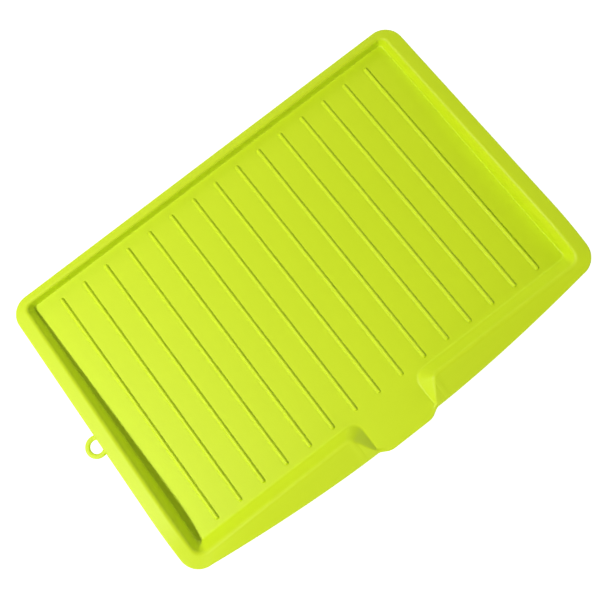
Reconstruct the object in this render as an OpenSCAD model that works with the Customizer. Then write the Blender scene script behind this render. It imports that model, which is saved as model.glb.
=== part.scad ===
// Sink-side dish drainer tray: a one-piece moulded tray with drain ribs and a pouring spout,
// standing on four push-in feet that let its floor fall towards the spout.

/* [Tray] */
// Width across the side rims, without the hanging loop
tray_w = 419; // [340:1:520]
// Depth from the back rim to the front corners
tray_d = 279; // [220:1:350]
// Thickness of the moulding
wall = 2; // [1.6:0.1:2.6]
// Fall of the floor towards the spout, in degrees
fall = 2; // [1:0.1:2.5]
// Gap between the counter and the drip edge of the spout
counter_gap = 4; // [2:0.5:10]

/* [Rim] */
// Width of the flat rim along each side
rim_w_side = 13; // [8:0.5:20]
// Width of the flat rim along the back
rim_w_back = 8; // [5:0.5:16]
// Width of the rim at the front corners
rim_w_front = 10.7; // [7:0.1:16]
// Drop of the rim from its inner crest to its outer edge
rim_droop = 1; // [0:0.1:2]
// Depth of the turned-down lip round the outside
lip_drop = 4; // [3.5:0.1:6]
// Corner radius of the outside
corner_r = 18; // [11:0.5:24]
// Corner radius of the crest at the back
crest_r_back = 6.5; // [4:0.5:12]
// Corner radius of the crest at the front
crest_r_front = 9; // [4:0.5:12]
// Height of the crest above the floor at the back
rim_h_back = 9.2; // [8.5:0.1:14]
// Height of the crest above the floor along the front
rim_h_front = 10; // [9:0.1:12]
// Length over which the side rims come down to the front corners
dip_len = 54; // [30:1:80]

/* [Walls] */
// Height of the sloping band under the crest
band_drop = 8; // [5:0.1:8.4]
// Run of the sloping band along each side
band_run_side = 3.3; // [2:0.1:12]
// Run of the sloping band along the back
band_run_back = 1.4; // [1:0.1:6]
// Run of the sloping band along the front
band_run_front = 10; // [5:0.1:14]
// Draft of the upright wall below the band, in degrees
draft = 9; // [3:1:15]
// Corner radius of the floor
floor_r = 4; // [2:0.5:6]

/* [Spout] */
// Width of the spout between its side walls
spout_w = 60; // [40:1:90]
// Reach of the spout beyond the edge of the apron
spout_reach = 4.8; // [3:0.1:10]
// How far the apron stands further out at the spout than at the front corners
apron_swell = 11.8; // [6:0.1:16]
// Power of the curve along which the apron swells and falls
apron_curve = 1.7; // [1.2:0.1:2.2]
// Radius of the floor's mouth into the spout
mouth_r = 10.8; // [8:0.1:14]
// Radius of the crest where it turns into the spout
crest_mouth_r = 9.6; // [7:0.1:12]
// Angle through which the crest turns there, in degrees
crest_turn = 60; // [50:1:68]
// Width of each cut-off corner at the tip
tip_cut = 8.6; // [5:0.1:14]

/* [Drain ribs] */
// Pitch of the drain ribs
rib_pitch = 24; // [18:0.5:32]
// Width of a rib at its foot
rib_w = 4.4; // [3:0.1:6]
// Width of a rib along its top
rib_top_w = 1.4; // [0.8:0.1:2.4]
// Height of a rib above the floor
rib_h = 1.9; // [1:0.1:3]
// Gap between the ribs and the back of the floor
rib_gap_back = 8.3; // [4:0.1:15]
// Gap between the ribs and the front of the floor
rib_gap_front = 4.7; // [4:0.1:15]
// Least gap between the outermost rib and the side of the floor
rib_gap_side = 14; // [8:1:24]

/* [Hanging loop] */
// Outer diameter of the loop
loop_d = 20; // [16:0.5:28]
// Width of the loop's band
loop_band = 4.2; // [3:0.1:5]
// Thickness of the loop
loop_t = 3; // [2:0.1:3]
// Distance of the loop's centre outside the rim
loop_out = 3.2; // [2:0.1:6]
// Distance of the loop in front of the middle of the tray
loop_forward = 6; // [-40:1:40]

/* [Feet] */
// Diameter of a foot's pad
pad_d = 18; // [15:0.5:24]
// Height of a foot's pad
pad_h = 3; // [2:0.1:4]
// Bevel round the bottom of the pad
pad_bevel = 1; // [0.5:0.1:1.5]
// Diameter of a foot's stem
stem_d = 7; // [5:0.1:9]
// Length of a foot's stem
stem_l = 4.5; // [3:0.1:5]
// Bevel at the end of the stem
stem_bevel = 0.6; // [0.3:0.1:1]
// Clearance round the stem in its socket, on each side
stem_clear = 0.1; // [0.05:0.01:0.3]
// Clearance past the end of the stem in its socket
stem_end_clear = 0.5; // [0.3:0.1:0.8]
// Wall of the moulded boss round a socket
boss_wall = 3; // [2:0.1:4]
// Distance of each foot from the side of the floor
foot_inset_side = 24.7; // [16:0.1:60]
// Distance of each foot from the back or the front of the floor
foot_inset_end = 26; // [16:1:60]

/* [Hidden] */
tray_colour = "#cfe934";
foot_colour = "#8f9a3a";
$fn = 48;

// Points along each stretch of half the rim
corner_n = 6;
side_n = 14;
front_n = 7;
mouth_n = 7;
cheek_n = 4;

// Plan of the outside, the crest and the floor, in the frame of the sloping floor.
// Its origin lies in the middle of the floor's plane, between the back rim and the front corners.
half_w = tray_w / 2;
back_y = tray_d / 2;
corner_y = -tray_d / 2;
apron_y = corner_y - apron_swell;
tip_y = apron_y - spout_reach;
spout_x = spout_w / 2;
crest_x = half_w - rim_w_side;
crest_back_y = back_y - rim_w_back;
crest_front_y = corner_y + rim_w_front;

// Loops keep this far inside the edge at the spout, where all of them are level
edge_inset = wall + 0.7;
cheek_end = edge_inset + 0.3;

// The rim is level, so its height above the falling floor grows towards the front,
// until it dips to the front corners.
level_gain = (crest_back_y - crest_front_y) * tan(fall);
dip_depth = rim_h_back + level_gain - rim_h_front;
dip_power = 2.2;
function dip(y) = dip_depth * pow(max(0, (crest_front_y + dip_len - y) / dip_len), dip_power);
function crest_h(y) = rim_h_back + (crest_back_y - y) * tan(fall) - dip(y);
function band_h(h) = band_drop * min(1, h / rim_h_front);
function upright_run(h) = (h - band_h(h)) * tan(draft);

// Plan of the floor's edge, at the foot of the walls
floor_back_y = crest_back_y - band_run_back - upright_run(rim_h_back);
floor_front_y = crest_front_y + band_run_front + upright_run(rim_h_front);
function floor_x(h) = crest_x - band_run_side - upright_run(h);

// The crest turns out of the front and runs down beside the spout to the apron's edge
crest_end = [spout_x + cheek_end / tan(crest_turn), apron_y + cheek_end];
crest_turn_y = crest_front_y - crest_mouth_r * (1 - cos(crest_turn));
crest_turn_x = crest_end[0] + (crest_turn_y - crest_end[1]) / tan(crest_turn);
crest_mouth_x = crest_turn_x + crest_mouth_r * sin(crest_turn);
// Share of the crest's height that is left where it ends
cheek_share = (crest_end[1] - apron_y) / (crest_turn_y - apron_y);

// Share of a stretch, its points on a line and its points on an arc
function shares(n, first, last) = [for (i = [first:last]) i / n];
function blend(a, b, t) = a + (b - a) * t;
function arc(centre, r, from, to, n) =
    [for (t = shares(n, 0, n)) centre + r * [cos(blend(from, to, t)), sin(blend(from, to, t))]];

// The apron's outer edge: how far along it a place is, its plan and its height
function apron_share(x) = min(1, (half_w - corner_r - x) / (half_w - corner_r - spout_x));
function apron_edge(x) = [x, corner_y - apron_swell * (1 - pow(1 - apron_share(x), apron_curve))];
function apron_h(x) = (rim_h_front - rim_droop) * pow(1 - apron_share(x), apron_curve);

// Heights of the crest along the right half, from the back to the tip
side_from = crest_back_y - crest_r_back;
side_to = crest_front_y + crest_r_front;
side_y = [for (t = shares(side_n, 1, side_n - 1)) blend(side_from, side_to, t)];
back_arc = arc([crest_x - crest_r_back, side_from], crest_r_back, 90, 0, corner_n);
front_arc = arc([crest_x - crest_r_front, side_to], crest_r_front, 0, -90, corner_n);
crest_hs = concat(
    [rim_h_back],
    [for (p = back_arc) crest_h(p[1])],
    [for (y = side_y) crest_h(y)],
    [for (p = front_arc) crest_h(p[1])],
    [for (i = [1:front_n - 1]) rim_h_front],
    [for (i = [0:mouth_n]) rim_h_front],
    [for (t = shares(cheek_n, 1, cheek_n)) blend(rim_h_front, rim_h_front * cheek_share, t)],
    [0, 0, 0]
);

// Plan of the crest along the right half
crest_mouth = arc([crest_mouth_x, crest_front_y - crest_mouth_r], crest_mouth_r, 90, 90 + crest_turn, mouth_n);
crest_half = concat(
    [[0, crest_back_y]],
    back_arc,
    [for (y = side_y) [crest_x, y]],
    front_arc,
    [for (t = shares(front_n, 1, front_n - 1)) [blend(crest_x - crest_r_front, crest_mouth_x, t), crest_front_y]],
    crest_mouth,
    [for (t = shares(cheek_n, 1, cheek_n)) blend(crest_mouth[mouth_n], crest_end, t)],
    tip_inset(edge_inset)
);

// Plan of the floor's edge along the right half
floor_back_x = floor_x(crest_h(side_from));
floor_front_x = floor_x(crest_h(side_to));
floor_mouth = arc([spout_x + mouth_r, floor_front_y - mouth_r], mouth_r, 90, 180, mouth_n);
floor_half = concat(
    [[0, floor_back_y]],
    arc([floor_back_x - floor_r, floor_back_y - floor_r], floor_r, 90, 0, corner_n),
    [for (t = shares(side_n, 1, side_n - 1))
        [floor_x(crest_h(blend(side_from, side_to, t))),
         blend(floor_back_y - floor_r, floor_front_y + floor_r, t)]],
    arc([floor_front_x - floor_r, floor_front_y + floor_r], floor_r, 0, -90, corner_n),
    [for (t = shares(front_n, 1, front_n - 1))
        [blend(floor_front_x - floor_r, spout_x + mouth_r, t), floor_front_y]],
    floor_mouth,
    [for (t = shares(cheek_n, 1, cheek_n)) [spout_x, blend(floor_mouth[mouth_n][1], crest_end[1] + 1, t)]],
    tip_inset(edge_inset + 2)
);

// Plan and heights of the outer edge along the right half
apron_xs = concat(
    [for (t = shares(front_n, 1, front_n - 1)) blend(half_w - corner_r, crest_mouth_x, t)],
    [for (t = shares(mouth_n, 0, mouth_n)) blend(crest_mouth_x, crest_turn_x, t)],
    [for (t = shares(cheek_n, 1, cheek_n)) blend(crest_turn_x, spout_x + 1, t)]
);
edge_half = concat(
    [[0, back_y]],
    arc([half_w - corner_r, back_y - corner_r], corner_r, 90, 0, corner_n),
    [for (t = shares(side_n, 1, side_n - 1)) [half_w, blend(back_y - corner_r, corner_y + corner_r, t)]],
    arc([half_w - corner_r, corner_y + corner_r], corner_r, 0, -90, corner_n),
    [for (x = apron_xs) apron_edge(x)],
    tip_inset(0)
);
edge_side_n = 2 + corner_n + side_n + corner_n;
edge_hs = concat(
    [for (i = [0:edge_side_n - 1]) crest_hs[i] - rim_droop],
    [for (x = apron_xs) apron_h(x)],
    [0, 0, 0]
);

// The spout's tip, a named distance inside its edge
function tip_inset(d) = [
    [spout_x - d, apron_y + 0.3 * d],
    [spout_x - tip_cut - 0.3 * d, tip_y + d],
    [0, tip_y + d]
];

// Whole loops: the right half, then its mirror image without the two points on the middle line
function mirrored(half) = concat(half, [for (i = [len(half) - 2:-1:1]) [-half[i][0], half[i][1]]]);
function mirrored_h(half) = concat(half, [for (i = [len(half) - 2:-1:1]) half[i]]);
edge = mirrored(edge_half);
crest = mirrored(crest_half);
floor_edge = mirrored(floor_half);
edge_h = mirrored_h(edge_hs);
heights = mirrored_h(crest_hs);
n = len(edge);

// Place along each wall where its sloping band ends and its upright part begins
function unit(v) = v / norm(v);
function band_share(i) = band_h(heights[i]) < 0.01 ? 0.5 : 1 - upright_share(i);
function upright_share(i) = min(0.5, upright_run(heights[i]) / norm(crest[i] - floor_edge[i]));
band_foot = [for (i = [0:n - 1]) blend(crest[i], floor_edge[i], band_share(i))];
band_foot_h = [for (i = [0:n - 1]) heights[i] - band_h(heights[i])];

// Underside of the shell: each crease moved square to its two surfaces by the wall's thickness
function below(d) = [-d[1], d[0]] / norm(d);
function mitre(a, b) = wall * (below(a) + below(b)) / (1 + below(a) * below(b));
function inwards(p, h, q, k) = [-norm(p - q), k - h];
function crease(i, p, h, q, k, r, j) =
    mitre(inwards(p[i], h[i], q[i], k[i]), inwards(q[i], k[i], r[i], j[i]));
function moved(i, q, k, m) =
    let (out = unit(crest[i] - floor_edge[i])) [q[i][0] + out[0] * m[0], q[i][1] + out[1] * m[0], k[i] + m[1]];
level = [for (i = [0:n - 1]) 0];
centre = [for (i = [0:n - 1]) floor_edge[i] - 10 * unit(crest[i] - floor_edge[i])];
crest_under = [for (i = [0:n - 1])
    moved(i, crest, heights, crease(i, edge, edge_h, crest, heights, band_foot, band_foot_h))];
band_under = [for (i = [0:n - 1])
    moved(i, band_foot, band_foot_h, crease(i, crest, heights, band_foot, band_foot_h, floor_edge, level))];
floor_under = [for (i = [0:n - 1])
    moved(i, floor_edge, level, crease(i, band_foot, band_foot_h, floor_edge, level, centre, level))];

// The lip's inner face runs a wall's thickness inside the outer edge
function tangent(i) = unit(edge[(i + 1) % n] - edge[(i + n - 1) % n]);
lip_in = [for (i = [0:n - 1]) [edge[i][0] + wall * tangent(i)[1], edge[i][1] - wall * tangent(i)[0]]];

function raised(loop, h, by) = [for (i = [0:n - 1]) [loop[i][0], loop[i][1], h[i] + by]];
shell_loops = [
    raised(floor_edge, level, 0),
    raised(band_foot, band_foot_h, 0),
    raised(crest, heights, 0),
    raised(edge, edge_h, 0),
    raised(edge, edge_h, -lip_drop),
    raised(lip_in, edge_h, -lip_drop),
    raised(lip_in, edge_h, -wall),
    crest_under,
    band_under,
    floor_under
];
shell_last = len(shell_loops) - 1;
shell_points = concat([for (loop = shell_loops) each loop], [[0, 0, 0], [0, 0, -wall]]);
shell_top = len(shell_points) - 2;
shell_bottom = len(shell_points) - 1;
shell_faces = concat(
    [for (k = [0:shell_last - 1]) for (i = [0:n - 1]) each
        let (a = k * n + i, b = k * n + (i + 1) % n) [[a, a + n, b], [b, a + n, b + n]]],
    [for (i = [0:n - 1]) [shell_top, i, (i + 1) % n]],
    [for (i = [0:n - 1]) [shell_bottom, shell_last * n + (i + 1) % n, shell_last * n + i]]
);

// The floor's frame in the part's own: turned by the fall, centred over the part's box
loop_reach = loop_out + loop_d / 2;
shift_x = loop_reach / 2;
lip_back_h = rim_h_back - rim_droop - lip_drop;
shift_y = -((tip_y + back_y) * cos(fall) - lip_back_h * sin(fall)) / 2;
shift_z = counter_gap - tip_y * sin(fall) + lip_drop * cos(fall);
module on_floor() {
    translate([shift_x, shift_y, shift_z]) rotate([fall, 0, 0]) children();
}

module shell() {
    polyhedron(points = shell_points, faces = shell_faces, convexity = 10);
}

// Drain ribs, as many as fit between the sides of the floor
rib_back_y = floor_back_y - rib_gap_back;
rib_front_y = floor_front_y + rib_gap_front;
rib_side = floor(min([for (p = floor_half) if (p[1] > floor_front_y + floor_r && p[0] > spout_x) p[0]])
    / rib_pitch - rib_gap_side / rib_pitch);
rib_sink = wall / 2;
rib_foot_w = rib_w + (rib_w - rib_top_w) * rib_sink / rib_h;
// Corners of a rib's outline at a level where it is w wide, anticlockwise, its ends cut off
function rib_outline(w, z) =
    let (a = w / 2, c = 0.3 * w, f = rib_front_y + (rib_w - w) / 2, b = rib_back_y - (rib_w - w) / 2) [
        [a - c, f, z], [a, f + c, z], [a, b - c, z], [a - c, b, z],
        [c - a, b, z], [-a, b - c, z], [-a, f + c, z], [c - a, f, z]
    ];
module rib() {
    polyhedron(
        points = concat(rib_outline(rib_foot_w, -rib_sink), rib_outline(rib_top_w, rib_h)),
        faces = concat(
            [[for (i = [0:7]) i], [for (i = [15:-1:8]) i]],
            [for (i = [0:7]) let (k = (i + 1) % 8) [i, i + 8, k + 8, k]]
        )
    );
}
module ribs() {
    for (i = [-rib_side:rib_side]) translate([i * rib_pitch, 0, 0]) rib();
}

// Hanging loop on the left lip
loop_y = -loop_forward;
loop_top = crest_h(loop_y) - rim_droop - (lip_drop - loop_t) / 2;
module hanging_loop() {
    translate([-half_w - loop_out, loop_y, loop_top - loop_t]) difference() {
        cylinder(d = loop_d, h = loop_t);
        translate([0, 0, -1]) cylinder(d = loop_d - 2 * loop_band, h = loop_t + 2);
        translate([loop_out + wall / 2, -loop_d, -1]) cube([loop_d, 2 * loop_d, loop_t + 2]);
    }
}

// Feet stand upright in the part's frame, in bosses that end inside the floor's thickness
foot_x = floor_x(crest_h(side_from)) - foot_inset_side;
foot_rear_y = floor_back_y - foot_inset_end;
foot_front_y = floor_front_y + foot_inset_end;
socket_d = stem_d + 2 * stem_clear;
boss_d = socket_d + 2 * boss_wall;
function foot_spot(side, y) = [shift_x + side * foot_x, shift_y + y * cos(fall), 0];
function floor_mid_z(y) = shift_z + y * sin(fall) - wall / 2 / cos(fall);
module boss(side, y) {
    translate(foot_spot(side, y)) translate([0, 0, pad_h]) cylinder(d = boss_d, h = floor_mid_z(y) - pad_h);
}
module socket(side, y) {
    translate(foot_spot(side, y)) cylinder(d = socket_d, h = pad_h + stem_l + stem_end_clear);
}
// The moulding, all in one piece
module tray() {
    color(tray_colour) difference() {
        union() {
            on_floor() {
                shell();
                ribs();
                hanging_loop();
            }
            for (side = [-1, 1]) for (y = [foot_front_y, foot_rear_y]) boss(side, y);
        }
        for (side = [-1, 1]) for (y = [foot_front_y, foot_rear_y]) socket(side, y);
    }
}

// Push-in foot: a bevelled pad with a stem
module foot(side, y) {
    color(foot_colour) translate(foot_spot(side, y)) rotate_extrude() polygon([
        [0, 0],
        [pad_d / 2 - pad_bevel, 0],
        [pad_d / 2, pad_bevel],
        [pad_d / 2, pad_h],
        [stem_d / 2, pad_h],
        [stem_d / 2, pad_h + stem_l - stem_bevel],
        [stem_d / 2 - stem_bevel, pad_h + stem_l],
        [0, pad_h + stem_l]
    ]);
}
module foot_front_left() { foot(-1, foot_front_y); }
module foot_front_right() { foot(1, foot_front_y); }
module foot_rear_left() { foot(-1, foot_rear_y); }
module foot_rear_right() { foot(1, foot_rear_y); }

tray();
foot_front_left();
foot_front_right();
foot_rear_left();
foot_rear_right();
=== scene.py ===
import math

import bpy
import bmesh
import numpy as np
from mathutils import Matrix, Vector


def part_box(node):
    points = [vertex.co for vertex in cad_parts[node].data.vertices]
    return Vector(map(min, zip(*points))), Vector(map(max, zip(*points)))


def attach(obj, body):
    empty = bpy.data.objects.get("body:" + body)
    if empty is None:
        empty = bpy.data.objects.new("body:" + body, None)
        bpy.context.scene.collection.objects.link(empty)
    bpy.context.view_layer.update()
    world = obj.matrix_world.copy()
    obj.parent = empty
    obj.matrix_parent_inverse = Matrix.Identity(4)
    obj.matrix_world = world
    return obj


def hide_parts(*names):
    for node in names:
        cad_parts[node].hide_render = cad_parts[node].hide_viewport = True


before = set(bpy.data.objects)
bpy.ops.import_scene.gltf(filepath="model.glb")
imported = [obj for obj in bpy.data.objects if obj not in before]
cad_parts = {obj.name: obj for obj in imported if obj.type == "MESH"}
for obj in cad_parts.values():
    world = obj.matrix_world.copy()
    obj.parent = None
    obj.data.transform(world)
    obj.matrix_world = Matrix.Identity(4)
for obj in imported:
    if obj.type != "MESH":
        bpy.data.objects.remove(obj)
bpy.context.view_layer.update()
MM = 0.001

# ---- sizes, in millimetres, as the CAD model has them ----
# Slope of the floor down to the spout, and thickness of the moulding
FALL = math.radians(2)
WALL = 2.0
# Rim: its width, how far it droops outwards, and the lip that it turns down into
RIM_W_SIDE, RIM_W_BACK, RIM_W_FRONT = 13.0, 8.0, 10.7
RIM_DROOP, LIP_DROP = 1.0, 4.0
# Corners in plan, of the rim's edge and of the crest
CORNER_R, CREST_R_BACK, CREST_R_FRONT = 18.0, 6.5, 9.0
# Height of the crest over the floor, and its dip before the front corners
RIM_H_BACK, RIM_H_FRONT = 9.2, 10.0
DIP_LEN, DIP_POWER = 54.0, 2.2
# Walls: a sloping band under the crest, over an almost upright part down to the floor
BAND_DROP, BAND_RUN_SIDE, BAND_RUN_BACK, BAND_RUN_FRONT = 8.0, 3.3, 1.4, 10.0
DRAFT = math.radians(9)
FLOOR_R = 4.0
# Spout, and its gap to the counter; the apron beside it; the mouth where the floor runs into it
SPOUT_W, SPOUT_REACH, COUNTER_GAP = 60.0, 4.8, 4.0
APRON_SWELL, APRON_CURVE = 11.8, 1.7
MOUTH_R, CREST_MOUTH_R, CREST_TURN = 10.8, 9.6, math.radians(60)
TIP_CUT = 8.6
# Drain ribs, and the gaps round them
RIB_PITCH, RIB_W, RIB_H = 24.0, 4.4, 1.9
RIB_GAP_BACK, RIB_GAP_FRONT, RIB_GAP_SIDE = 8.3, 4.7, 14.0
# Hanging loop: across, band, thickness, centre outside the rim, centre in front of the middle
LOOP_D, LOOP_BAND, LOOP_T, LOOP_OUT, LOOP_FORWARD = 20.0, 4.2, 3.0, 3.2, 6.0
# Feet: a pad, and a stem in the socket of a boss
PAD_D, PAD_H, PAD_BEVEL = 18.0, 3.0, 1.0
STEM_D, STEM_L, STEM_BEVEL, STEM_CLEAR, STEM_END_CLEAR = 7.0, 4.5, 0.6, 0.1, 0.5
BOSS_WALL = 3.0
FEET = ["foot_front_left", "foot_front_right", "foot_rear_left", "foot_rear_right"]

# ---- sizes of the finish, which only the looks have, in millimetres ----
# Reach of the rounding at each crease of the section, from the foot of the walls over the lip and back
SIDE_SOFT, END_SOFT, BAND_SOFT, CREST_SOFT, EDGE_SOFT = 0.5, 2.6, 3.2, 2.6, 1.2
LIP_SOFT, LIP_INSIDE_SOFT = 0.5, 0.7
EDGE_UNDER_SOFT, CREST_UNDER_SOFT, FLOOR_UNDER_SOFT = 1.0, 1.5, 1.2
# The most of a stretch that a rounding takes up
PATH_SHARE, RING_SHARE, PROFILE_SHARE = 0.45, 0.43, 0.34
# Where the points that hold the flats flat lie, in reaches of the rounding
RING_HOLD, PROFILE_HOLD = 1.12, 1.35
# Run in which the walls go over from their section at the sides to the one at the back and the front
END_RUN, END_LEAD_FRONT, END_LEAD_BACK, END_RISE = 14, 10, 6, 0.4
# Step from the floor's edge to the ring that holds it flat, at the spout and what the walls add
FLAT_STEP, FLAT_STEP_GAIN, FLAT_BLEND_H = 0.6, 2.6, 5
# Rounding of the spout's tip, skew of its corners, and how late the crest falls down the cheeks
TIP_R, TIP_SKEW, CREST_FALL_POWER = 3.5, 0.3, 1.7
# How far floor and edge stop short of the tip, and the floor's step inside the crest along the tip
CHEEK_GAP, TIP_STEP = 1.0, 2.0
# Rounding of the loop, the feet and the bosses
LOOP_SOFT, FOOT_SOFT, BOSS_SOFT = 1.2, 0.3, 0.4
# Grip grooves under a foot
GROOVE_RADII, GROOVE_W, GROOVE_FLAT, GROOVE_H = (2.4, 4.6, 6.8), 0.9, 0.4, 0.3
# Steps round a turned piece, along the loop and round the end of a rib
TURNS, LOOP_N, RIB_END_N = 64, 48, 9

# ---- the frame of the falling floor, placed by the CAD tray's own box ----
LOW, HIGH = (np.array(c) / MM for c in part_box("tray"))
TRAY_W = HIGH[0] - LOW[0] - LOOP_OUT - LOOP_D / 2
LIP_BACK_H = RIM_H_BACK - RIM_DROOP - LIP_DROP
TRAY_D = ((HIGH[1] - LOW[1] + LIP_BACK_H * math.sin(FALL)) / math.cos(FALL)
          - APRON_SWELL - SPOUT_REACH)
HALF_W = TRAY_W / 2
BACK_Y, CORNER_Y = TRAY_D / 2, -TRAY_D / 2
APRON_Y = CORNER_Y - APRON_SWELL
TIP_Y = APRON_Y - SPOUT_REACH
SPOUT_X = SPOUT_W / 2
CREST_X = HALF_W - RIM_W_SIDE
CREST_BACK_Y, CREST_FRONT_Y = BACK_Y - RIM_W_BACK, CORNER_Y + RIM_W_FRONT
SHIFT = np.array([
    HIGH[0] - HALF_W,
    HIGH[1] - BACK_Y * math.cos(FALL) + LIP_BACK_H * math.sin(FALL),
    COUNTER_GAP - TIP_Y * math.sin(FALL) + LIP_DROP * math.cos(FALL),
])


def on_floor(points):
    """Points of the falling floor's frame, in millimetres, as points of the row frame in metres."""
    x, y, h = np.asarray(points, float).T
    turned = np.c_[x, y * math.cos(FALL) - h * math.sin(FALL), y * math.sin(FALL) + h * math.cos(FALL)]
    return (turned + SHIFT) * MM


# ---- heights and runs of the rim and the walls ----
LEVEL_GAIN = (CREST_BACK_Y - CREST_FRONT_Y) * math.tan(FALL)
DIP_DEPTH = RIM_H_BACK + LEVEL_GAIN - RIM_H_FRONT


def crest_h(y):
    """Height of the crest above the floor: level over the fall, then down to the front corners."""
    dip = DIP_DEPTH * np.maximum(0, (CREST_FRONT_Y + DIP_LEN - y) / DIP_LEN) ** DIP_POWER
    return RIM_H_BACK + (CREST_BACK_Y - y) * math.tan(FALL) - dip


def band_h(h):
    return BAND_DROP * np.minimum(1, h / RIM_H_FRONT)


def upright_run(h):
    return (h - band_h(h)) * math.tan(DRAFT)


def floor_x(h):
    return CREST_X - BAND_RUN_SIDE - upright_run(h)


FLOOR_BACK_Y = CREST_BACK_Y - BAND_RUN_BACK - upright_run(RIM_H_BACK)
FLOOR_FRONT_Y = CREST_FRONT_Y + BAND_RUN_FRONT + upright_run(RIM_H_FRONT)
# The crest runs this far inside the edge of the spout's tip, and leaves the cheek a little further in
EDGE_INSET = WALL + 0.7
CHEEK_END = EDGE_INSET + 0.3
CREST_END = np.array([SPOUT_X + CHEEK_END / math.tan(CREST_TURN), APRON_Y + CHEEK_END])
CREST_TURN_Y = CREST_FRONT_Y - CREST_MOUTH_R * (1 - math.cos(CREST_TURN))
CREST_TURN_X = CREST_END[0] + (CREST_TURN_Y - CREST_END[1]) / math.tan(CREST_TURN)
CREST_MOUTH_X = CREST_TURN_X + CREST_MOUTH_R * math.sin(CREST_TURN)
CHEEK_SHARE = (CREST_END[1] - APRON_Y) / (CREST_TURN_Y - APRON_Y)
SIDE_FROM, SIDE_TO = CREST_BACK_Y - CREST_R_BACK, CREST_FRONT_Y + CREST_R_FRONT

# Stations along each stretch of half the rim
CORNER_N, SIDE_N, FRONT_N, MOUTH_N, CHEEK_N, TIP_N = 14, 60, 36, 18, 14, 22


def blend(a, b, t):
    return a + (b - a) * t


def inner_shares(n):
    return np.linspace(0, 1, n + 1)[1:-1]


def later_shares(n):
    return np.linspace(0, 1, n + 1)[1:]


def arc(cx, cy, r, start, end, n):
    a = np.radians(np.linspace(start, end, n + 1))
    return np.c_[cx + r * np.cos(a), cy + r * np.sin(a)]


def lifted(plan, h):
    """Plan points with their heights as a third column."""
    return np.c_[plan, np.broadcast_to(h, len(plan))]


def quadratic(start, corner, end, n):
    """n + 1 points of the quadratic curve that rounds a corner."""
    return [(1 - t) ** 2 * start + 2 * t * (1 - t) * corner + t ** 2 * end
            for t in np.linspace(0, 1, n + 1)]


def rounded_path(points, reach, n):
    """n stations at even steps along a path whose inner corners are cut by quadratic curves."""
    dense = [points[0]]
    for before, corner, after in zip(points, points[1:], points[2:]):
        a, b = before - corner, after - corner
        start = corner + a * min(PATH_SHARE, reach / np.linalg.norm(a))
        end = corner + b * min(PATH_SHARE, reach / np.linalg.norm(b))
        dense += quadratic(start, corner, end, 8)
    dense = np.array(dense + [points[-1]])
    along = np.r_[0, np.cumsum(np.linalg.norm(np.diff(dense, axis=0), axis=1))]
    wanted = later_shares(n) * along[-1]
    return np.array([np.interp(wanted, along, column) for column in dense.T]).T


def tip(start, inset):
    """The spout's tip, a distance inside its edge, from the end of a cheek to the middle line."""
    return rounded_path(np.array([
        start,
        [SPOUT_X - inset, APRON_Y + TIP_SKEW * inset, 0],
        [SPOUT_X - TIP_CUT - TIP_SKEW * inset, TIP_Y + inset, 0],
        [0, TIP_Y + inset, 0],
    ]), TIP_R, TIP_N)


def mirrored(half):
    return np.vstack([half, half[-2:0:-1] * (-1, 1, 1)])


def crest_fall():
    """Heights of the crest from half way round its turn to its end, eased so that no kink shows."""
    steps = np.arange(1, MOUTH_N // 2 + CHEEK_N + 1)
    return RIM_H_FRONT * blend(1, CHEEK_SHARE, (steps / steps[-1]) ** CREST_FALL_POWER)


def crest_loop():
    """The crest of the walls: round the tray, down the cheeks and along the spout's tip."""
    side_y = blend(SIDE_FROM, SIDE_TO, inner_shares(SIDE_N))
    back = arc(CREST_X - CREST_R_BACK, SIDE_FROM, CREST_R_BACK, 90, 0, CORNER_N)
    front = arc(CREST_X - CREST_R_FRONT, SIDE_TO, CREST_R_FRONT, 0, -90, CORNER_N)
    mouth = arc(CREST_MOUTH_X, CREST_FRONT_Y - CREST_MOUTH_R, CREST_MOUTH_R,
                90, 90 + math.degrees(CREST_TURN), MOUTH_N)
    along = blend(CREST_X - CREST_R_FRONT, CREST_MOUTH_X, inner_shares(FRONT_N))
    down = later_shares(CHEEK_N)
    cheek = np.c_[blend(mouth[-1][0], CREST_END[0], down), blend(mouth[-1][1], CREST_END[1], down)]
    turning, falling = np.split(crest_fall(), [MOUTH_N // 2])
    mouth = lifted(mouth, np.r_[np.full(len(mouth) - len(turning), RIM_H_FRONT), turning])
    cheek = lifted(cheek, falling)
    return mirrored(np.vstack([
        lifted([[0, CREST_BACK_Y]], RIM_H_BACK),
        lifted(back, crest_h(back[:, 1])),
        np.c_[np.full_like(side_y, CREST_X), side_y, crest_h(side_y)],
        lifted(front, crest_h(front[:, 1])),
        lifted(np.c_[along, np.full_like(along, CREST_FRONT_Y)], RIM_H_FRONT),
        mouth,
        cheek,
        tip(cheek[-1], EDGE_INSET),
    ]))


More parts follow.
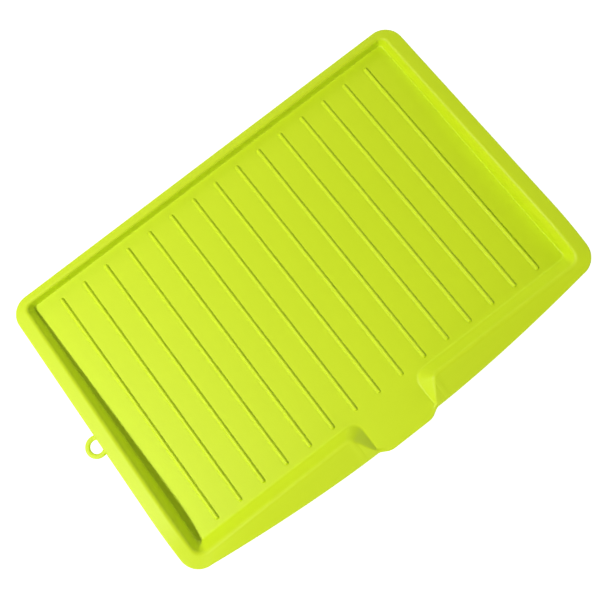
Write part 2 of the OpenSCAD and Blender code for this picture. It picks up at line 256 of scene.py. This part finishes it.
def floor_loop():
    """The edge of the floor, which ends in the spout's tip."""
    back_x, front_x = floor_x(crest_h(SIDE_FROM)), floor_x(crest_h(SIDE_TO))
    share = inner_shares(SIDE_N)
    side_y = blend(FLOOR_BACK_Y - FLOOR_R, FLOOR_FRONT_Y + FLOOR_R, share)
    along = blend(front_x - FLOOR_R, SPOUT_X + MOUTH_R, inner_shares(FRONT_N))
    mouth = arc(SPOUT_X + MOUTH_R, FLOOR_FRONT_Y - MOUTH_R, MOUTH_R, 90, 180, MOUTH_N)
    cheek_y = blend(mouth[-1][1], CREST_END[1] + CHEEK_GAP, later_shares(CHEEK_N))
    cheek = np.c_[np.full_like(cheek_y, SPOUT_X), cheek_y]
    flat = np.vstack([
        [[0, FLOOR_BACK_Y]],
        arc(back_x - FLOOR_R, FLOOR_BACK_Y - FLOOR_R, FLOOR_R, 90, 0, CORNER_N),
        np.c_[floor_x(crest_h(blend(SIDE_FROM, SIDE_TO, share))), side_y],
        arc(front_x - FLOOR_R, FLOOR_FRONT_Y + FLOOR_R, FLOOR_R, 0, -90, CORNER_N),
        np.c_[along, np.full_like(along, FLOOR_FRONT_Y)],
        mouth,
        cheek,
    ])
    flat = lifted(flat, 0)
    return mirrored(np.vstack([flat, tip(flat[-1], EDGE_INSET + TIP_STEP)]))


def edge_loop(crest):
    """The outer edge: round the corners, then along the apron and down to the spout."""
    side_y = blend(BACK_Y - CORNER_R, CORNER_Y + CORNER_R, inner_shares(SIDE_N))
    sides = np.vstack([
        [[0, BACK_Y]],
        arc(HALF_W - CORNER_R, BACK_Y - CORNER_R, CORNER_R, 90, 0, CORNER_N),
        np.c_[np.full_like(side_y, HALF_W), side_y],
        arc(HALF_W - CORNER_R, CORNER_Y + CORNER_R, CORNER_R, 0, -90, CORNER_N),
    ])
    xs = np.r_[
        blend(HALF_W - CORNER_R, CREST_MOUTH_X, inner_shares(FRONT_N)),
        blend(CREST_MOUTH_X, CREST_TURN_X, np.linspace(0, 1, MOUTH_N + 1)),
        blend(CREST_TURN_X, SPOUT_X + CHEEK_GAP, later_shares(CHEEK_N)),
    ]
    left = (xs - SPOUT_X) / (HALF_W - CORNER_R - SPOUT_X)
    left = np.clip(left, 0, 1) ** APRON_CURVE
    apron = np.c_[xs, CORNER_Y - APRON_SWELL * (1 - left), (RIM_H_FRONT - RIM_DROOP) * left]
    return mirrored(np.vstack([
        lifted(sides, crest[:len(sides), 2] - RIM_DROOP),
        apron,
        tip(apron[-1], 0),
    ]))


# ---- the cross-section of the moulding at every station ----
def unit(v):
    return v / np.linalg.norm(v, axis=1, keepdims=True)


def below(p, q):
    """Unit normal, on the underside, of the surface that runs inwards from p to q."""
    run, rise = -np.linalg.norm((q - p)[:, :2], axis=1), (q - p)[:, 2]
    return unit(np.c_[-rise, run])


def crease_under(p, q, r, out):
    """The crease q moved square to the two surfaces that meet in it, by the wall's thickness."""
    a, b = below(p, q), below(q, r)
    step = WALL * (a + b) / (1 + (a * b).sum(axis=1, keepdims=True))
    return q + np.c_[out * step[:, :1], step[:, 1]]


def inwards(loop):
    """Unit directions square to a loop in plan, towards its inside."""
    along = unit((np.roll(loop, -1, axis=0) - np.roll(loop, 1, axis=0))[:, :2])
    return np.c_[along[:, 1], -along[:, 0], np.zeros(len(loop))]


def floor_inset(crest, loop):
    """Steps from the floor's edge to the rings that hold it flat: square to the edge along the walls,
    and short and towards the middle at the spout's tip."""
    share = np.clip(crest[:, 2:] / FLAT_BLEND_H, 0, 1)
    inner = unit(blend(-unit(loop * (1, 1, 0)), inwards(loop), share))
    return inner * (FLAT_STEP + FLAT_STEP_GAIN * np.minimum(1, crest[:, 2:] / RIM_H_FRONT))


def end_share(crest):
    """1 along the back and along the front, and 0 at the sides."""
    y = crest[:, 1:2]
    into = np.maximum(SIDE_TO + END_LEAD_FRONT - y, y - SIDE_FROM + END_LEAD_BACK)
    return np.clip(into / END_RUN, 0, 1)


def floor_fillet(crest):
    """Reach of the fillet at the foot of the walls: wider along the back and the front."""
    return blend(SIDE_SOFT, END_SOFT, end_share(crest))


def softened_foot(foot, floor, crest):
    """At the back and the front the foot of the band moves onto the line from floor to crest."""
    return blend(foot, blend(floor, crest, END_RISE), end_share(crest))


def section_loops():
    """Loops from the floor over the crest to the lip, and back along the underside."""
    crest, floor = crest_loop(), floor_loop()
    edge = edge_loop(crest)
    across = crest - floor
    out = unit(across[:, :2])
    reach = np.linalg.norm(across[:, :2], axis=1)
    upright = np.minimum(0.5, upright_run(crest[:, 2]) / reach)
    share = np.where(band_h(crest[:, 2]) < 0.01, 0.5, 1 - upright)[:, None]
    foot = np.c_[blend(crest, floor, share)[:, :2], crest[:, 2] - band_h(crest[:, 2])]
    foot = softened_foot(foot, floor, crest)
    inside = floor + floor_inset(crest, floor)
    lip_in = edge + WALL * inwards(edge)
    up = np.array([0, 0, 1])
    under = crease_under(foot, floor, inside, out)
    return [
        (inside, 0), (floor, floor_fillet(crest)), (foot, BAND_SOFT),
        (crest, CREST_SOFT), (edge, EDGE_SOFT),
        (edge - LIP_DROP * up, LIP_SOFT), (lip_in - LIP_DROP * up, LIP_SOFT),
        (lip_in - WALL * up, LIP_INSIDE_SOFT), (crease_under(edge, crest, foot, out), EDGE_UNDER_SOFT),
        (crease_under(crest, foot, floor, out), CREST_UNDER_SOFT),
        (under, FLOOR_UNDER_SOFT), (under + 0.5 * floor_inset(crest, under), 0),
    ]


def rounded_rings(loops):
    """Every crease between the first and the last loop, rounded by a quadratic curve."""
    rings = [loops[0][0]]
    for (before, _), (corner, reach), (after, _) in zip(loops, loops[1:], loops[2:]):
        a, b = before - corner, after - corner
        la, lb = (np.linalg.norm(v, axis=1, keepdims=True) for v in (a, b))
        r = np.minimum(reach, RING_SHARE * np.minimum(la, lb))
        to_start, to_end = a / la * r, b / lb * r
        rings.append(corner + to_start * RING_HOLD)
        rings += quadratic(corner + to_start, corner, corner + to_end, 5)
        rings.append(corner + to_end * RING_HOLD)
    return rings + [loops[-1][0]]


# ---- meshes ----
def new_object(name, verts, faces, material):
    """A closed, smooth piece with its faces outwards, standing at the origin."""
    bm = bmesh.new()
    points = [bm.verts.new(v) for v in verts]
    for face in faces:
        bm.faces.new([points[i] for i in face])
    bmesh.ops.recalc_face_normals(bm, faces=bm.faces)
    mesh = bpy.data.meshes.new(name)
    bm.to_mesh(mesh)
    bm.free()
    mesh.shade_smooth()
    mesh.materials.append(material)
    obj = bpy.data.objects.new(name, mesh)
    bpy.context.scene.collection.objects.link(obj)
    return obj


def ring_faces(rings, n):
    """Quads between consecutive rings of n points."""
    return [(k * n + i, (k + 1) * n + i, (k + 1) * n + (i + 1) % n, k * n + (i + 1) % n)
            for k in range(rings - 1) for i in range(n)]


def capped_faces(rings, n):
    """The quads, and a face over the first ring and over the last one."""
    return ring_faces(rings, n) + [tuple(range(n)), tuple(range((rings - 1) * n, rings * n))]


def tray_shell(material):
    """The moulding without its ribs, bosses and loop: floor, walls, rim, lip, apron and spout."""
    rings = rounded_rings(section_loops())
    faces = capped_faces(len(rings), len(rings[0]))
    return new_object("tray_shell", on_floor(np.vstack(rings)), faces, material)


# Half a rib's section: distance from its middle line and height above the floor
RIB_SECTION = [
    (0.15, RIB_H), (0.45, RIB_H - 0.02), (0.72, RIB_H - 0.14), (0.94, RIB_H - 0.4), (1.12, 1.1),
    (1.28, 0.72), (1.44, 0.39), (1.62, 0.17), (1.86, 0.04), (2.1, 0.0), (2.1, -1.0),
]


def single_rib(material, x):
    """One tapered rib with rounded ends, on the floor at x."""
    back = FLOOR_BACK_Y - RIB_GAP_BACK - RIB_W / 2
    front = FLOOR_FRONT_Y + RIB_GAP_FRONT + RIB_W / 2
    verts = []
    for d, h in RIB_SECTION:
        verts += [(x + px, py, h) for px, py in arc(0, back, d, 0, 180, RIB_END_N - 1)]
        verts += [(x + px, py, h) for px, py in arc(0, front, d, 180, 360, RIB_END_N - 1)]
    n, m = 2 * RIB_END_N, len(RIB_SECTION)
    faces = ring_faces(m, n)
    for first in (0, (m - 1) * n):
        last = first + n - 1
        faces += [(first + i, first + i + 1, last - i - 1, last - i) for i in range(RIB_END_N - 1)]
    return new_object("rib", on_floor(verts), faces, material)


def node(tree, kind, links=None, **settings):
    """Adds a node. Settings that name an input set its value, and the others are properties."""
    made = tree.nodes.new(kind)
    for key, value in settings.items():
        if hasattr(made, key):
            setattr(made, key, value)
    for key, value in settings.items():
        if not hasattr(made, key):
            made.inputs[key.replace("_", " ")].default_value = value
    for key, source in (links or {}).items():
        tree.links.new(source, made.inputs[key])
    return made


def rib_row_tree():
    """Instances of one rib along a line of points at an even pitch."""
    tree = bpy.data.node_groups.new("rib_row", "GeometryNodeTree")
    for name, kind in (("Rib", "Object"), ("Count", "Int"), ("Pitch", "Float"), ("Material", "Material")):
        tree.interface.new_socket(name, in_out="INPUT", socket_type="NodeSocket" + kind)
    tree.interface.new_socket("Geometry", in_out="OUTPUT", socket_type="NodeSocketGeometry")
    given = node(tree, "NodeGroupInput").outputs
    step = node(tree, "ShaderNodeCombineXYZ", {"X": given["Pitch"]})
    line = node(tree, "GeometryNodeMeshLine", {"Count": given["Count"], "Offset": step.outputs[0]})
    rib = node(tree, "GeometryNodeObjectInfo", {"Object": given["Rib"]})
    row = node(tree, "GeometryNodeInstanceOnPoints",
               {"Points": line.outputs[0], "Instance": rib.outputs["Geometry"]})
    real = node(tree, "GeometryNodeRealizeInstances", {"Geometry": row.outputs[0]})
    painted = node(tree, "GeometryNodeSetMaterial",
                   {"Geometry": real.outputs[0], "Material": given["Material"]})
    node(tree, "NodeGroupOutput", {"Geometry": painted.outputs[0]})
    return tree


def drain_ribs(material):
    """The row of ribs as one piece: as many as the narrowest part of the floor takes."""
    least_x = floor_x(crest_h(blend(SIDE_FROM, SIDE_TO, inner_shares(SIDE_N)))).min()
    each_side = math.floor((least_x - RIB_GAP_SIDE) / RIB_PITCH)
    rib = single_rib(material, -each_side * RIB_PITCH)
    row = bpy.data.objects.new("drain_ribs", bpy.data.meshes.new("drain_ribs"))
    bpy.context.scene.collection.objects.link(row)
    modifier = row.modifiers.new("row", "NODES")
    modifier.node_group = rib_row_tree()
    wanted = {"Rib": rib, "Count": 2 * each_side + 1, "Pitch": RIB_PITCH * MM, "Material": material}
    for socket in modifier.node_group.interface.items_tree:
        if socket.name in wanted:
            modifier[socket.identifier] = wanted[socket.name]
    bpy.context.view_layer.update()
    ready = row.evaluated_get(bpy.context.evaluated_depsgraph_get())
    baked = bpy.data.meshes.new_from_object(ready)
    row.modifiers.clear()
    row.data = baked
    row.data.name = "drain_ribs"
    row.data.shade_smooth()
    bpy.data.objects.remove(rib)
    return row


def hanging_loop(material):
    """A flat ring with rounded edges, whose two ends stop inside the lip."""
    y = -LOOP_FORWARD
    centre_x = -HALF_W - LOOP_OUT
    middle_h = crest_h(y) - RIM_DROOP - LIP_DROP / 2
    inner, outer, soft = LOOP_D / 2 - LOOP_BAND, LOOP_D / 2, LOOP_SOFT
    corners = [(outer - soft, LOOP_T / 2 - soft, 0), (inner + soft, LOOP_T / 2 - soft, 90),
               (inner + soft, soft - LOOP_T / 2, 180), (outer - soft, soft - LOOP_T / 2, 270)]
    section = np.vstack([arc(r, h, soft, a, a + 90, 5) for r, h, a in corners])
    ends = np.arccos((LOOP_OUT + WALL / 2) / section[:, 0])
    rings = []
    for t in np.linspace(0, 1, LOOP_N + 1):
        angle = blend(ends, 2 * math.pi - ends, t)
        rings.append(np.c_[centre_x + section[:, 0] * np.cos(angle), y + section[:, 0] * np.sin(angle),
                           middle_h + section[:, 1]])
    faces = capped_faces(len(rings), len(section))
    return new_object("hanging_loop", on_floor(np.vstack(rings)), faces, material)


def lathe(name, profile, x, y, material):
    """A closed piece turned about an upright axis, from a profile whose ends lie on the axis."""
    angles = np.linspace(0, 2 * math.pi, TURNS, endpoint=False)
    rings = [np.c_[x + r * np.cos(angles), y + r * np.sin(angles), np.full(TURNS, z)]
             for r, z in profile[1:-1]]
    verts = np.vstack(rings + [[[x, y, profile[0][1]], [x, y, profile[-1][1]]]])
    faces = ring_faces(len(rings), TURNS)
    end = len(rings) * TURNS
    for centre, first in ((end, 0), (end + 1, end - TURNS)):
        faces += [(centre, first + i, first + (i + 1) % TURNS) for i in range(TURNS)]
    return new_object(name, verts * MM, faces, material)


def rounded_profile(points, reach):
    """A profile with its inner corners rounded, and a point on each side to hold the flats flat."""
    out = [points[0]]
    for before, corner, after in zip(points, points[1:], points[2:]):
        before, corner, after = (np.array(p, float) for p in (before, corner, after))
        a, b = before - corner, after - corner
        la, lb = np.linalg.norm(a), np.linalg.norm(b)
        r = min(reach, PROFILE_SHARE * la, PROFILE_SHARE * lb)
        to_start, to_end = a / la * r, b / lb * r
        out.append(corner + to_start * PROFILE_HOLD)
        out += quadratic(corner + to_start, corner, corner + to_end, 4)
        out.append(corner + to_end * PROFILE_HOLD)
    return out + [points[-1]]


def foot_spot(name):
    """The middle of a foot in plan, from the CAD foot's own box."""
    low, high = (np.array(c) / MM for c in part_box(name))
    return (low + high)[:2] / 2


def foot(name, material):
    """A push-in foot: a pad with shallow grip grooves underneath, and a stem."""
    x, y = foot_spot(name)
    pad, stem, top = PAD_D / 2, STEM_D / 2, PAD_H + STEM_L
    profile = [(0, 0)]
    for r in GROOVE_RADII:
        profile += [(r - GROOVE_W / 2, 0), (r - GROOVE_FLAT / 2, GROOVE_H),
                    (r + GROOVE_FLAT / 2, GROOVE_H), (r + GROOVE_W / 2, 0)]
    profile += [(pad - PAD_BEVEL, 0), (pad, PAD_BEVEL), (pad, PAD_H), (stem, PAD_H),
                (stem, top - STEM_BEVEL), (stem - STEM_BEVEL, top), (0, top)]
    piece = lathe(name + "_rubber", rounded_profile(profile, FOOT_SOFT), x, y, material)
    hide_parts(name)
    return piece


def boss(name, material):
    """The moulded boss over a foot, with its socket; it ends inside the floor's thickness."""
    x, y = foot_spot(name)
    floor_y = (y - SHIFT[1]) / math.cos(FALL)
    top = SHIFT[2] + floor_y * math.sin(FALL) - WALL / 2 / math.cos(FALL)
    socket = STEM_D / 2 + STEM_CLEAR
    depth = PAD_H + STEM_L + STEM_END_CLEAR
    profile = [(0, depth), (socket, depth), (socket, PAD_H), (socket + BOSS_WALL, PAD_H),
               (socket + BOSS_WALL, top), (0, top)]
    return lathe(name.replace("foot", "boss"), rounded_profile(profile, BOSS_SOFT), x, y, material)


# ---- materials ----
def linear(hex_colour):
    """An sRGB hex colour as linear light."""
    parts = [int(hex_colour[i:i + 2], 16) / 255 for i in (1, 3, 5)]
    return tuple(c / 12.92 if c <= 0.04045 else ((c + 0.055) / 1.055) ** 2.4 for c in parts) + (1,)


def new_material(name):
    material = bpy.data.materials.new(name)
    material.use_nodes = True
    tree = material.node_tree
    return material, tree, tree.nodes["Principled BSDF"]


def polypropylene():
    """Lime polypropylene: an even, slightly waxy satin moulding, its sheen broken by a fine grain."""
    material, tree, shader = new_material("lime_polypropylene")
    place = node(tree, "ShaderNodeTexCoord").outputs["Object"]
    # Slow drift of the pigment, about a percent over a hand's width
    drift = node(tree, "ShaderNodeTexNoise", {"Vector": place}, Scale=9.0, Detail=2.0)
    tint = node(tree, "ShaderNodeMix", {"Factor": drift.outputs[0]}, data_type="RGBA")
    tint.inputs[6].default_value = linear("#cae20c")
    tint.inputs[7].default_value = linear("#cde410")
    tree.links.new(tint.outputs[2], shader.inputs["Base Color"])
    # Moulding grain, drawn at about a millimetre so that it still shows from the camera
    grain = node(tree, "ShaderNodeTexNoise", {"Vector": place}, Scale=900.0, Detail=3.0)
    sheen = node(tree, "ShaderNodeMapRange", {"Value": grain.outputs[0]}, To_Min=0.5, To_Max=0.6)
    tree.links.new(sheen.outputs[0], shader.inputs["Roughness"])
    bump = node(tree, "ShaderNodeBump", {"Height": grain.outputs[0]}, Strength=0.12, Distance=0.0003)
    tree.links.new(bump.outputs[0], shader.inputs["Normal"])
    shader.inputs["IOR"].default_value = 1.49
    shader.inputs["Subsurface Weight"].default_value = 0.08
    shader.inputs["Subsurface Radius"].default_value = (0.002, 0.002, 0.0006)
    shader.inputs["Subsurface Scale"].default_value = 1.0
    return material


def elastomer():
    """Olive elastomer: matt, faintly mottled rubber for the feet."""
    material, tree, shader = new_material("foot_elastomer")
    place = node(tree, "ShaderNodeTexCoord").outputs["Object"]
    mottle = node(tree, "ShaderNodeTexNoise", {"Vector": place}, Scale=700.0, Detail=4.0)
    tint = node(tree, "ShaderNodeMix", {"Factor": mottle.outputs[0]}, data_type="RGBA")
    tint.inputs[6].default_value = linear("#84902f")
    tint.inputs[7].default_value = linear("#8f9b38")
    tree.links.new(tint.outputs[2], shader.inputs["Base Color"])
    bump = node(tree, "ShaderNodeBump", {"Height": mottle.outputs[0]}, Strength=0.25, Distance=0.0003)
    tree.links.new(bump.outputs[0], shader.inputs["Normal"])
    shader.inputs["Roughness"].default_value = 0.72
    shader.inputs["IOR"].default_value = 1.5
    return material


def backdrop_material():
    """White matt studio floor, lit a little from behind as on a light table, so that it stays pale."""
    material, _, shader = new_material("studio_floor")
    shader.inputs["Base Color"].default_value = linear("#8c8c8c")
    shader.inputs["Roughness"].default_value = 0.9
    shader.inputs["Emission Color"].default_value = linear("#ffffff")
    shader.inputs["Emission Strength"].default_value = 0.97
    return material


# ---- studio ----
STUDIO_MIDDLE = (0, 0, 0.015)
STUDIO_HALF = 4
# Softboxes: azimuth, elevation, distance, width and height, watts, colour
LIGHTS = {
    "key": (-94, 51, 1.6, (0.45, 0.14), 23.4, "#fffdf8"),
    "front": (-10, 15, 1.7, (1.4, 0.6), 6.4, "#fffdf8"),
    "back": (170, 32, 1.7, (1.4, 0.8), 7.1, "#fffdf8"),
    "right": (85, 20, 1.7, (1.4, 0.8), 7.2, "#ffffff"),
}
# Strength of the room's light on the object, and as the camera sees it
ROOM_FILL, ROOM_SEEN = 0.067, 0.9
LENS, SENSOR = 50.6, 36
CAMERA_TARGET = (0.0021, -0.0019, 0.014)
CAMERA_AZIMUTH, CAMERA_ELEVATION, CAMERA_DISTANCE, CAMERA_ROLL = -10.08, 76.26, 0.717, -27.8


def toward(target, azimuth, elevation, distance):
    """A place seen from the target at an azimuth (0 in front, 90 to the right) and an elevation."""
    a, e = math.radians(azimuth), math.radians(elevation)
    return Vector(target) + distance * Vector((math.sin(a) * math.cos(e), -math.cos(a) * math.cos(e),
                                               math.sin(e)))


def aimed(obj, place, target, roll=0.0):
    """Puts obj at a place, looking at the target and turned about its own view axis by roll degrees."""
    obj.location = place
    look = (Vector(target) - place).to_track_quat("-Z", "Y")
    obj.rotation_euler = (look.to_matrix() @ Matrix.Rotation(math.radians(roll), 3, "Z")).to_euler()
    bpy.context.scene.collection.objects.link(obj)


def area_light(name, azimuth, elevation, distance, size, watts, colour):
    """A softbox facing the middle of the studio; size is its width and its height."""
    data = bpy.data.lights.new(name, "AREA")
    data.shape = "RECTANGLE"
    data.size, data.size_y = size
    data.energy = watts
    data.color = linear(colour)[:3]
    light = bpy.data.objects.new(name, data)
    aimed(light, toward(STUDIO_MIDDLE, azimuth, elevation, distance), STUDIO_MIDDLE)


def studio_floor():
    """The plain floor that the object stands on."""
    bm = bmesh.new()
    bmesh.ops.create_grid(bm, x_segments=1, y_segments=1, size=STUDIO_HALF)
    mesh = bpy.data.meshes.new("studio_floor")
    bm.to_mesh(mesh)
    bm.free()
    mesh.materials.append(backdrop_material())
    floor = bpy.data.objects.new("studio_floor", mesh)
    bpy.context.scene.collection.objects.link(floor)


def studio_room():
    """The walls of the room, which look pale behind the object but give it only a weak fill."""
    world = bpy.data.worlds.new("studio")
    world.use_nodes = True
    sky = world.node_tree.nodes["Background"]
    sky.inputs["Color"].default_value = linear("#ffffff")
    ray = node(world.node_tree, "ShaderNodeLightPath").outputs["Is Camera Ray"]
    glow = node(world.node_tree, "ShaderNodeMapRange", {"Value": ray}, To_Min=ROOM_FILL, To_Max=ROOM_SEEN)
    world.node_tree.links.new(glow.outputs[0], sky.inputs["Strength"])
    bpy.context.scene.world = world


def camera():
    """From high in front and a little to the left, turned so that the tray lies across the picture."""
    data = bpy.data.cameras.new("camera")
    data.lens = LENS
    data.sensor_width = SENSOR
    view = bpy.data.objects.new("camera", data)
    place = toward(CAMERA_TARGET, CAMERA_AZIMUTH, CAMERA_ELEVATION, CAMERA_DISTANCE)
    aimed(view, place, CAMERA_TARGET, CAMERA_ROLL)
    bpy.context.scene.camera = view
    bpy.context.scene.view_settings.view_transform = "Standard"


# ---- assembly ----
green, rubber = polypropylene(), elastomer()
moulded = [tray_shell(green), drain_ribs(green), hanging_loop(green)]
moulded += [boss(name, green) for name in FEET]
for piece in moulded:
    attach(piece, "root")
    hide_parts("tray")
for name in FEET:
    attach(foot(name, rubber), "root")
studio_floor()
for name, settings in LIGHTS.items():
    area_light(name, *settings)
studio_room()
camera()
